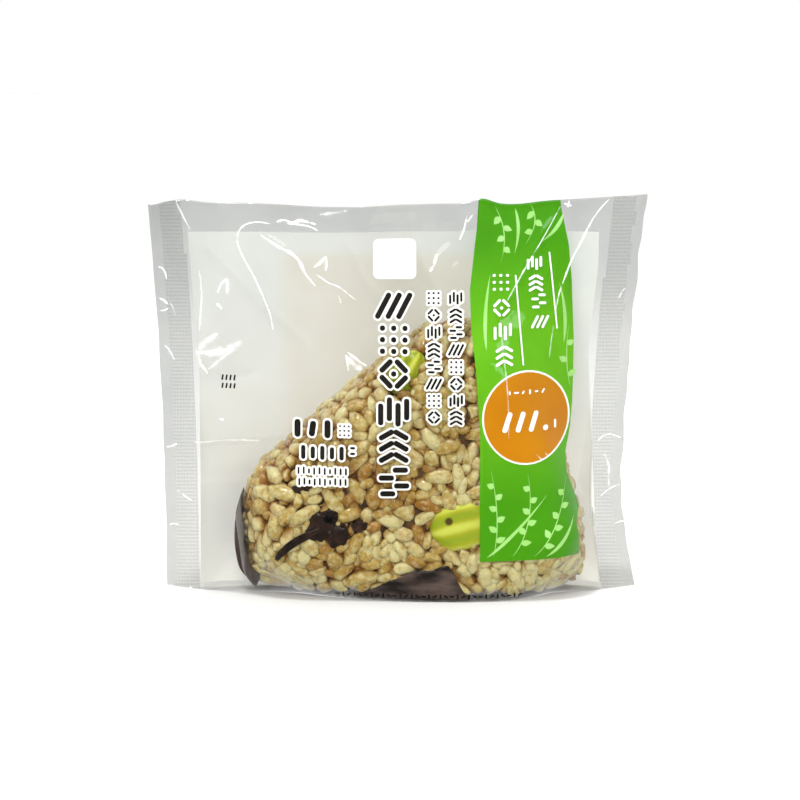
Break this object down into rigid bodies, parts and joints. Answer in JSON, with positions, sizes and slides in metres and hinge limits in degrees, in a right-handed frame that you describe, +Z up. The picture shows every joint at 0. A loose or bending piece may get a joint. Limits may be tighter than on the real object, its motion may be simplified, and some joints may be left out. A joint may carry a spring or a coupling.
{
  "type": "onigiri rice ball",
  "caption": "Triangular rice ball with edamame and kelp, sealed in a clear film pack that stands on its flat base.",
  "frame": {"origin": "middle of the pack's base, at the height of the table", "axes": "+X to the right as the front is seen, +Y from the front to the back, +Z up"},
  "size_m": [0.11, 0.0344, 0.0882],
  "materials": {
    "clear_film": "clear glossy film"
  },
  "bodies": {
    "root": {"film_pack": "clear_film"}
  },
  "joints": []
}
